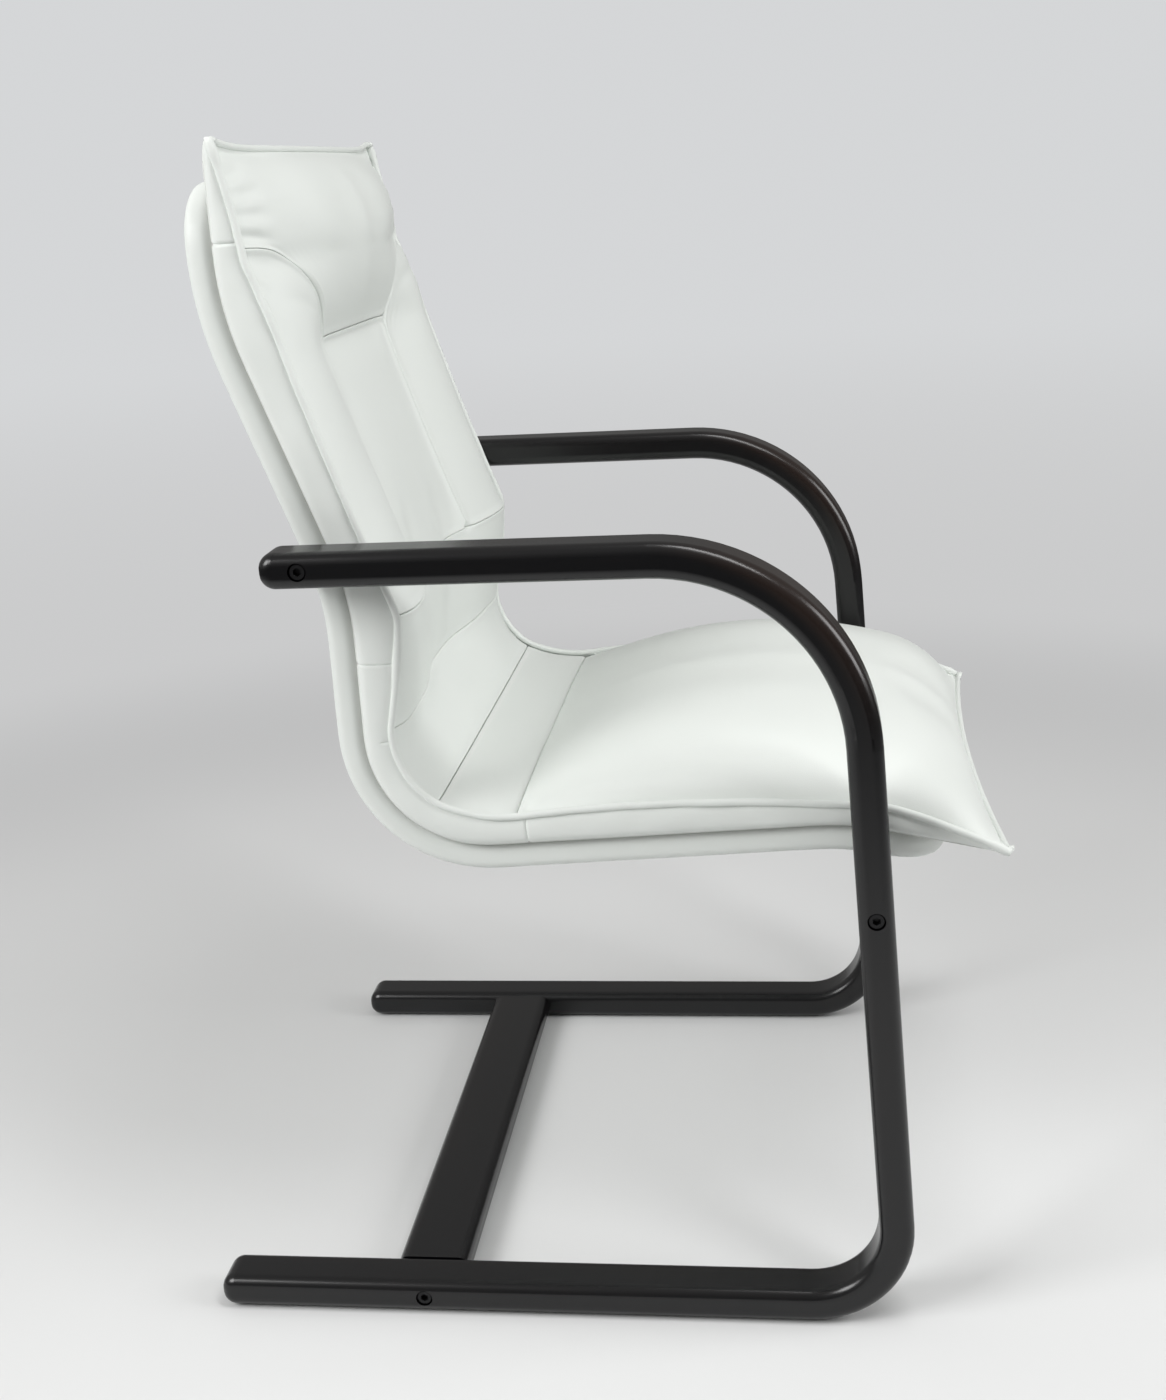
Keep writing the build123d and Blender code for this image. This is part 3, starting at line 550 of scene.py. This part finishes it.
def blown_up(points, sewn):
    """Blows the sheet up between its sewn points, as the filling does, and returns its points."""
    rows, columns = points.shape[:2]
    shape = bmesh.new()
    bmesh.ops.create_grid(shape, x_segments=columns - 1, y_segments=rows - 1, size=1)
    for vert in shape.verts:
        row = round((1 - vert.co.y) / 2 * (rows - 1))
        column = round((1 + vert.co.x) / 2 * (columns - 1))
        vert.co = points[row, column]
    mesh = bpy.data.meshes.new("leather_sheet")
    shape.to_mesh(mesh)
    order = [int(np.argmin(np.abs(points.reshape(-1, 3) - vert.co).sum(1))) for vert in shape.verts]
    shape.free()
    leather = bpy.data.objects.new("leather_sheet", mesh)
    bpy.context.scene.collection.objects.link(leather)
    group = leather.vertex_groups.new(name="sewn")
    flat_sewn = sewn.reshape(-1)
    group.add([index for index, place in enumerate(order) if flat_sewn[place]], 1, "REPLACE")
    cloth = leather.modifiers.new("Cloth", "CLOTH")
    cloth.settings.quality = 6
    cloth.settings.tension_stiffness = 25
    cloth.settings.compression_stiffness = 25
    cloth.settings.shear_stiffness = 12
    cloth.settings.bending_stiffness = 8
    cloth.settings.use_pressure = True
    cloth.settings.uniform_pressure_force = 4
    cloth.settings.vertex_group_mass = "sewn"
    cloth.settings.effector_weights.gravity = 0
    cloth.point_cache.frame_end = sheet_frames
    for moment in range(1, sheet_frames + 1):
        bpy.context.scene.frame_set(moment)
    blown = leather.evaluated_get(bpy.context.evaluated_depsgraph_get())
    moved = np.zeros((len(order), 3))
    for index, vert in enumerate(blown.data.vertices):
        moved[order[index]] = vert.co
    bpy.context.scene.frame_set(1)
    bpy.data.objects.remove(leather)
    bpy.data.meshes.remove(mesh)
    step = moved.reshape(points.shape) - points
    length = np.linalg.norm(step, axis=2, keepdims=True)
    return points + step * np.minimum(1, swell_cap / np.maximum(length, 1e-9))


sheet_frames = 20
swell_cap = 0.024
zone_fullness = (1.0, 0.6, 0.4, 0.4, 0.4, 0.9)
start_sink = 0.003
top_dip = 0.014
ear_rise = 0.007
top_reach = 0.025


def normals_of(points):
    """Directions off a sheet of points, towards the sitter."""
    across = np.gradient(points, axis=1)
    down = np.gradient(points, axis=0)
    off = np.cross(down, across)
    return off / np.linalg.norm(off, axis=2, keepdims=True)


sewn = np.zeros(sheet.shape[:2], bool)
sewn[zone_first_row] = True
sewn[:, [0, -1]] = True
sewn[zone_first_row[1] : zone_first_row[2], [first_seam, last_seam]] = True
started = sheet - normals_of(sheet) * start_sink * ~sewn[:, :, None]
fullness = np.repeat(zone_fullness, zone_rows)
fullness = np.append(fullness, fullness[-1])[:, None, None]
blown = sheet + (blown_up(started, sewn) - sheet) * fullness


def dented(points, dents):
    """Presses soft dents into the sheet: place across and down, turn, half length, half width and depth."""
    depth = np.zeros(points.shape[:2])
    for x, run, turn, length, width, deep in dents:
        across = points[:, :, 0] - x
        down = sheet_run - run
        along = across * cos(turn) + down * sin(turn)
        aside = down * cos(turn) - across * sin(turn)
        depth += deep * np.exp(-((along / length) ** 2) - (aside / width) ** 2)
    return points - normals_of(points) * depth[:, :, None]


seat_dent_from_front = 0.250
pucker_below_seam = 0.006
seat_dent_run = base_s[-1] - seat_dent_from_front
seat_seam_run = all_runs[0, zones.index("seat_cushion")] + pucker_below_seam
dents = []
for side in (-1, 1):
    for inward, run, turn, length, width, deep in (
        (0.018, 0.020, 0.35, 0.016, 0.0050, 0.0030),
        (0.022, 0.036, 0.20, 0.018, 0.0055, 0.0034),
        (0.020, 0.053, 0.05, 0.016, 0.0050, 0.0028),
        (0.016, 0.070, -0.15, 0.015, 0.0040, 0.0034),
        (0.022, 0.093, -0.30, 0.020, 0.0050, 0.0022),
        (0.008, 0.110, 0.60, 0.009, 0.0030, 0.0030),
        (0.060, 0.132, -0.20, 0.045, 0.0060, 0.0022),
        (0.010, seat_seam_run, 0.0, 0.008, 0.0050, 0.0026),
        (0.030, seat_dent_run, pi / 2, 0.090, 0.0160, 0.0050),
    ):
        dents.append((side * (cushion_edge - inward), run, side * turn, length, width, deep))
blown = dented(blown, dents)
share_out = np.abs(column_x / cushion_edge)
top_lift = top_dip * (1 - share_out**2) - ear_rise * (1 - share_out**8)
blown[:, :, 2] += top_lift * np.exp(-(((sheet_run - sheet_run[0]) / top_reach) ** 2))
sheet_normals = normals_of(blown)

seam_lips = (0.0030, 0.0034, 0.0026, 0.0026, 0.0026, 0.0090, 0.0030)
seam_depths = (0.0006, 0.0020, 0.0013, 0.0013, 0.0013, 0.0042, 0.0006)
side_lip = 0.0060
side_depth = 0.0030
panel_lip = 0.0026
panel_depth = 0.0014
lip_steps = (0.0005, 0.0014, 0.0027, 0.0045)
pinch_share = 0.7
pinch_length = 0.018


def lip(distance, width, depth):
    """How far the leather turns down beside a seam, as a quarter of an ellipse."""
    near = np.clip(1 - distance / width, 0, 1)
    return depth * (1 - np.sqrt(1 - near**2))


def lines_with_lips(count, spacing):
    """Grid places from 0 to count, with more of them close to both ends."""
    close = [step / spacing for step in lip_steps if step / spacing < 0.9]
    return np.array([0, *close, *range(1, count), *[count - step for step in reversed(close)], count])


def on_sheet(points, row, column):
    """A point of the sheet between its rows and columns."""
    r = min(int(row), points.shape[0] - 2)
    c = min(int(column), points.shape[1] - 2)
    v, u = row - r, column - c
    upper = points[r, c] * (1 - u) + points[r, c + 1] * u
    lower = points[r + 1, c] * (1 - u) + points[r + 1, c + 1] * u
    return upper * (1 - v) + lower * v


def pinched(run):
    """How far the cushion's underside is drawn up to its top, which is sewn shut at the head's top edge."""
    return pinch_share * max(0, 1 - (run - sheet_run[0, -1]) / pinch_length) ** 2


def panel(shape, zone, columns, sides):
    """Adds one closed padded panel: the blown leather over the base cloth, turned down at its four edges."""
    first, last = zone_first_row[zone], zone_first_row[zone + 1]
    left, right = columns
    lengths = np.linalg.norm(np.diff(blown[first : last + 1], axis=0), axis=2).sum(0)
    widths = np.linalg.norm(np.diff(blown[first : last + 1, left : right + 1], axis=1), axis=2)
    rows = first + lines_with_lips(last - first, lengths.mean() / (last - first))
    lines = left + lines_with_lips(right - left, widths[:, [0, -1]].mean())
    run_across = np.concatenate([[0], np.cumsum(widths.mean(0))])
    grid = bmesh.ops.create_grid(shape, x_segments=len(lines) - 1, y_segments=len(rows) - 1, size=1)["verts"]
    grid_faces = list({face for vert in grid for face in vert.link_faces})
    places = {}
    for vert in grid:
        row = rows[round((1 - vert.co.y) / 2 * (len(rows) - 1))]
        column = lines[round((1 + vert.co.x) / 2 * (len(lines) - 1))]
        places[vert] = (row, column)
    copy = bmesh.ops.duplicate(shape, geom=grid + list({e for v in grid for e in v.link_edges}) + grid_faces)
    for vert, (row, column) in places.items():
        spot = on_sheet(blown, row, column)
        off = on_sheet(sheet_normals, row, column)
        length = np.interp(column, range(len(lengths)), lengths)
        down = (row - first) / (last - first) * length
        across = np.interp(column - left, range(len(run_across)), run_across)
        turn = lip(down, seam_lips[zone], seam_depths[zone])
        turn += lip(length - down, seam_lips[zone + 1], seam_depths[zone + 1])
        turn += lip(across, *sides[0]) + lip(run_across[-1] - across, *sides[1])
        vert.co = spot - off * turn
        under = copy["vert_map"][vert]
        run = on_sheet(sheet_run[:, :, None], row, column)[0]
        low = Vector((spot[0], *bent(run, cloth_thickness)))
        under.co = low.lerp(vert.co, pinched(run))
    under_faces = [one for one in copy["geom"] if isinstance(one, bmesh.types.BMFace)]
    bmesh.ops.reverse_faces(shape, faces=under_faces)
    rim = [edge for edge in shape.edges if edge.is_boundary]
    bmesh.ops.bridge_loops(shape, edges=rim)
    bmesh.ops.recalc_face_normals(shape, faces=shape.faces)


piped = (side_lip, side_depth)
stitched = (panel_lip, panel_depth)
whole = (0, len(column_x) - 1)
for zone, name in enumerate(zones):
    shape = bmesh.new()
    if name == "back_cushion":
        panel(shape, zone, (0, first_seam), (piped, stitched))
        panel(shape, zone, (first_seam, last_seam), (stitched, stitched))
        panel(shape, zone, (last_seam, whole[1]), (stitched, piped))
    else:
        panel(shape, zone, whole, (piped, piped))
    piece = new_piece(name, shape, white_leather, "white_leather", name)
    rounder(piece)

# Boxing
# The leather side strips of the cushion, sewn to the base cloth below and to the piping above.
# Each is pieced from short lengths with cross seams, bulges over the filling and gathers at the front.
boxing_thickness = 0.0015
boxing_bulge = 0.0040
height_per_bulge = 7
bulge_power = 0.7
boxing_rows = 300
boxing_columns = 18
column_crowding = 1.5
cross_seam_heights = (0.886, 0.562)
cross_seam_y = 0.046
cross_seam_width = 0.0010
cross_seam_depth = 0.0024
cross_seam_power = 0.3
cross_seam_steps = (0.0, 0.0004, 0.0009, 0.0015, 0.0024, 0.0036)
tick_below_seam = 0.065
tick_shares = (0.6, 0.75)
turned_in = 0.0045
turn_height = 0.0030
boxing_softness, boxing_softness_scale = 0.0008, 30
gather_depth, gather_scale, gather_scale_up = 0.0016, 70, 0.8
gather_start, gather_full = 0.16, 0.04
boxing_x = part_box("left_boxing")[1].x

edge_run = sheet_run[:, -1]
edge_spot = blown[:, -1]
edge_base = np.stack(bent(edge_run, 0), axis=1)
edge_height = np.hypot(*(edge_spot[:, 1:] - edge_base).T)
cross_seams = [np.interp(-height, -base_z[:seat_half], base_s[:seat_half]) for height in cross_seam_heights]
cross_seams.append(np.interp(-cross_seam_y, -base_y[seat_half:], base_s[seat_half:]))
tick_run = cross_seams[1] + tick_below_seam
close_runs = [
    seam + way * step for seam in (*cross_seams, tick_run) for step in cross_seam_steps for way in (-1, 1)
]
boxing_runs = np.unique([*np.linspace(edge_run[0], edge_run[-1], boxing_rows), *close_runs])


def groove_at(run, seam):
    """How much of a cross seam's depth is reached at a run."""
    return np.exp(-(((run - seam) / cross_seam_width) ** 2))


def boxing(name, side):
    """One side strip from the base cloth up to the piping."""
    strip = bmesh.new()
    bmesh.ops.create_grid(strip, x_segments=boxing_columns, y_segments=len(boxing_runs) - 1, size=0.5)
    for vert in strip.verts:
        share = (0.5 + vert.co.x) ** column_crowding
        run = boxing_runs[round((0.5 - vert.co.y) * (len(boxing_runs) - 1))]
        share = pinched(run) + share * (1 - pinched(run))
        height = np.interp(run, edge_run, edge_height)
        groove = sum(groove_at(run, seam) for seam in cross_seams)
        groove += groove_at(run, tick_run) * np.interp(share, tick_shares, (0, 1))
        near_front = np.interp(run, (edge_run[-1] - gather_start, edge_run[-1] - gather_full), (0, 1))
        soft = boxing_softness * noise.noise(Vector((run * boxing_softness_scale, share, side)))
        gather = noise.noise(Vector((run * gather_scale, share * gather_scale_up, side)))
        soft += gather_depth * near_front * gather
        arch = max(0, sin(pi * share))
        bulge = arch**bulge_power * min(boxing_bulge, height / height_per_bulge) + soft * arch
        turn = turned_in * np.exp(-((share * height / turn_height) ** 2))
        groove *= cross_seam_depth * arch**cross_seam_power
        vert.co.x = side * (boxing_x + bulge - turn - groove)
        vert.co.yz = bent(run, share * height)
    if side < 0:
        bmesh.ops.reverse_faces(strip, faces=strip.faces)
    piece = new_piece(name, strip, white_leather, "white_leather", name)
    wall = piece.modifiers.new("Wall", "SOLIDIFY")
    wall.thickness = boxing_thickness
    wall.offset = -1
    rounder(piece)


boxing("right_boxing", -1)
boxing("left_boxing", 1)

# Piping
# Round cords in a folded strip of the same leather, sewn in where the panels meet the boxing.
# Two run down the sides, one lies across the top of the head and one across the front of the seat.


def piping(name, points, thickness):
    """A round leather tube along a line of points, each with its share of the thickness."""
    line = bpy.data.curves.new(name, "CURVE")
    line.dimensions = "3D"
    line.bevel_depth = welt_radius
    line.bevel_resolution = 4
    line.use_fill_caps = True
    tips = []
    for end, near in ((0, 1), (-1, -2)):
        tips.append(points[end] + (points[end] - points[near]).normalized() * welt_radius)
    points = [tips[0], *points, tips[1]]
    thickness = [tip_share, *thickness, tip_share]
    spline = line.splines.new("POLY")
    spline.points.add(len(points) - 1)
    for spot, point, share in zip(spline.points, points, thickness):
        spot.co = (*point, 1)
        spot.radius = share
    route = bpy.data.objects.new(name + "_route", line)
    tube = bmesh.new()
    tube.from_mesh(bpy.data.meshes.new_from_object(route))
    bpy.data.objects.remove(route)
    bmesh.ops.remove_doubles(tube, verts=tube.verts, dist=1e-6)
    bmesh.ops.recalc_face_normals(tube, faces=tube.faces)
    new_piece(name, tube, white_leather, "white_leather", name)


welt_radius = 0.0030
welt_lift = 0.0010
tip_share = 0.3
ear_share = 0.8
ear_swelling = 0.40
ear_length = 0.008
ear_lift = 0.0035
ear_inset = 0.0005
ear_x = boxing_x - ear_inset
ear_spots = {}
seam_swelling = 0.35
seam_swelling_reach = 0.014
wander_depth, wander_scale = 0.0012, 28
cross_cord_share = 0.85
cross_cord_lift = 0.0012
cross_cord_inset = 0.004
cross_cord_reach = cushion_edge - cross_cord_inset
side_cord_points, side_cord_smoothing = 600, 6
cross_cord_points, cross_cord_smoothing = 81, 3
piping_x = sum(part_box("left_piping"), Vector()).x / 2
for name, side in (("right_piping", -1), ("left_piping", 1)):
    runs = np.linspace(edge_run[0], edge_run[-1], side_cord_points)
    heights = np.interp(runs, edge_run, edge_height) + welt_lift
    spots = np.stack(bent(runs, heights), axis=1)
    spots = np.stack([smoothed(spots[:, axis], side_cord_smoothing) for axis in (0, 1)], axis=1)
    wander = [wander_depth * noise.noise(Vector((run * wander_scale, side, 0))) for run in runs]
    from_ear = np.minimum(runs - runs[0], runs[-1] - runs)
    thickness = 1 + ear_swelling * np.exp(-(((from_ear - ear_length) / ear_length) ** 2))
    thickness += seam_swelling * np.exp(-(((runs - cross_seams[1]) / seam_swelling_reach) ** 2))
    cord = [Vector((side * (piping_x + shift), *spot)) for shift, spot in zip(wander, spots)]
    for place, past_end in ((0, -ear_lift), (-1, ear_lift)):
        ear = bent(edge_run[place] + past_end, edge_height[place] + ear_lift)
        ear_spots[side, place] = Vector((side * ear_x, *ear))
    cord = [ear_spots[side, 0], *cord, ear_spots[side, -1]]
    piping(name, cord, [ear_share, *thickness, ear_share])
for name, place, lift in (
    ("head_piping", 0, (0, 0, cross_cord_lift)),
    ("seat_front_piping", -1, (0, -cross_cord_lift, 0)),
):
    even_x = np.linspace(-cross_cord_reach, cross_cord_reach, cross_cord_points)
    row = [np.interp(even_x, column_x, blown[place, :, axis]) for axis in (1, 2)]
    row = [smoothed(values, cross_cord_smoothing) for values in row]
    cord = [Vector(spot) + Vector(lift) for spot in zip(even_x, *row)]
    cord = [ear_spots[-1, place], *cord, ear_spots[1, place]]
    piping(name, cord, [ear_share, *np.full(len(cord) - 2, cross_cord_share), ear_share])

# Studio
# A pale seamless floor that fades into a pale backdrop.
# A narrow lamp hangs above the sitter's right arm, one soft lamp faces the front and one the rear.
floor_radius = 14.0
backdrop_grey = (0.665, 0.675, 0.685, 1)
horizon_grey = (0.590, 0.592, 0.595, 1)

studio_floor, shader, place, (x, y, _) = new_finish("studio_floor")
tree = studio_floor.node_tree
away = (x * x + y * y).root()
seen = place.node("ShaderNodeLightPath", None, None, output="Is Camera Ray")
fade = away.ramp(0.4, 2.2) * seen
# Past a metre the floor's own colour is painted dark, a painted shade that the wood's sides reflect; the
# camera mostly sees the glow there instead.
floor_grey = away.ramp(1.0, 2.4).tint((0.76, 0.765, 0.765, 1), (0.15, 0.15, 0.15, 1))
place.feed(shader, {"Base Color": floor_grey, "Roughness": 0.6, "Specular IOR Level": 0.2})
# The glow is painted darker near the chair than far away, a painted shade band across the backdrop.
behind = away.ramp(1.2, 9.0).tint(horizon_grey, backdrop_grey)
glow = place.node("ShaderNodeEmission", None, {"Color": behind, "Strength": 1.0})
mixed = place.node("ShaderNodeMixShader", None, {0: fade, 1: Value(tree, shader.outputs[0]), 2: glow})
tree.links.new(mixed.socket, tree.nodes["Material Output"].inputs["Surface"])

disc = bmesh.new()
bmesh.ops.create_circle(disc, cap_ends=True, segments=96, radius=floor_radius)
floor_mesh = bpy.data.meshes.new("studio_floor")
disc.to_mesh(floor_mesh)
disc.free()
floor = bpy.data.objects.new("studio_floor", floor_mesh)
floor_mesh.materials.append(studio_floor)
bpy.context.scene.collection.objects.link(floor)

world = bpy.data.worlds.new("studio")
bpy.context.scene.world = world
world.use_nodes = True
sky = Value(world.node_tree)
seen = sky.node("ShaderNodeLightPath", None, None, output="Is Camera Ray")
way = sky.node("ShaderNodeTexCoord", None, None, output="Generated")
y, z = [sky.node("ShaderNodeSeparateXYZ", None, {0: way}, output=axis) for axis in (1, 2)]
around = 0.18 + y.ramp(-0.1, 0.9) * 0.22 + z.ramp(0.1, 0.9) * 0.18
sky.feed(world.node_tree.nodes["Background"], {
    "Color": seen.tint((1.0, 0.99, 0.97, 1), backdrop_grey),
    "Strength": seen + (1 - seen) * around,
})


def softbox(name, spot, target, size, power):
    """A large lamp, as wide and as high as given, that faces a target."""
    lamp = bpy.data.lights.new(name, "AREA")
    lamp.shape = "RECTANGLE"
    lamp.size, lamp.size_y = size
    lamp.energy = power
    box = bpy.data.objects.new(name, lamp)
    box.location = spot
    box.rotation_euler = (Vector(target) - Vector(spot)).to_track_quat("-Z", "Y").to_euler()
    bpy.context.scene.collection.objects.link(box)


softbox("strip", (-0.70, -0.70, 2.4), (-0.29, -0.30, 0.67), (0.3, 1.5), 18)
softbox("front", (-0.3, -2.3, 1.4), (0, 0.1, 0.7), (1.2, 1.2), 29)
softbox("left", (-1.5, 1.7, 1.8), (0, 0.2, 0.8), (1.2, 1.2), 42)

# Camera
# It stands at the sitter's right, and looks down at the chair from about the height of the headrest.
# Its place, turn and focal length were fitted to the edges of both side frames.
camera_spot = Vector((-1.51976, -0.18469, 0.92183))
camera_yaw = radians(8.011)
camera_pitch = radians(16.898)
camera_roll = radians(-3.436)
focal_pixels = 1737.165
picture_height = 1400
sensor = 36.0

forward = Vector((
    cos(camera_yaw) * cos(camera_pitch),
    sin(camera_yaw) * cos(camera_pitch),
    -sin(camera_pitch),
))
level = Vector((sin(camera_yaw), -cos(camera_yaw), 0))
upward = level.cross(forward)
right = level * cos(camera_roll) + upward * sin(camera_roll)
up = upward * cos(camera_roll) - level * sin(camera_roll)
lens = bpy.data.cameras.new("camera")
lens.sensor_width = sensor
lens.lens = focal_pixels * sensor / picture_height
camera = bpy.data.objects.new("camera", lens)
camera.matrix_world = Matrix.Translation(camera_spot) @ Matrix((right, up, -forward)).transposed().to_4x4()
bpy.context.scene.collection.objects.link(camera)
bpy.context.scene.camera = camera
bpy.context.scene.view_settings.view_transform = "Standard"
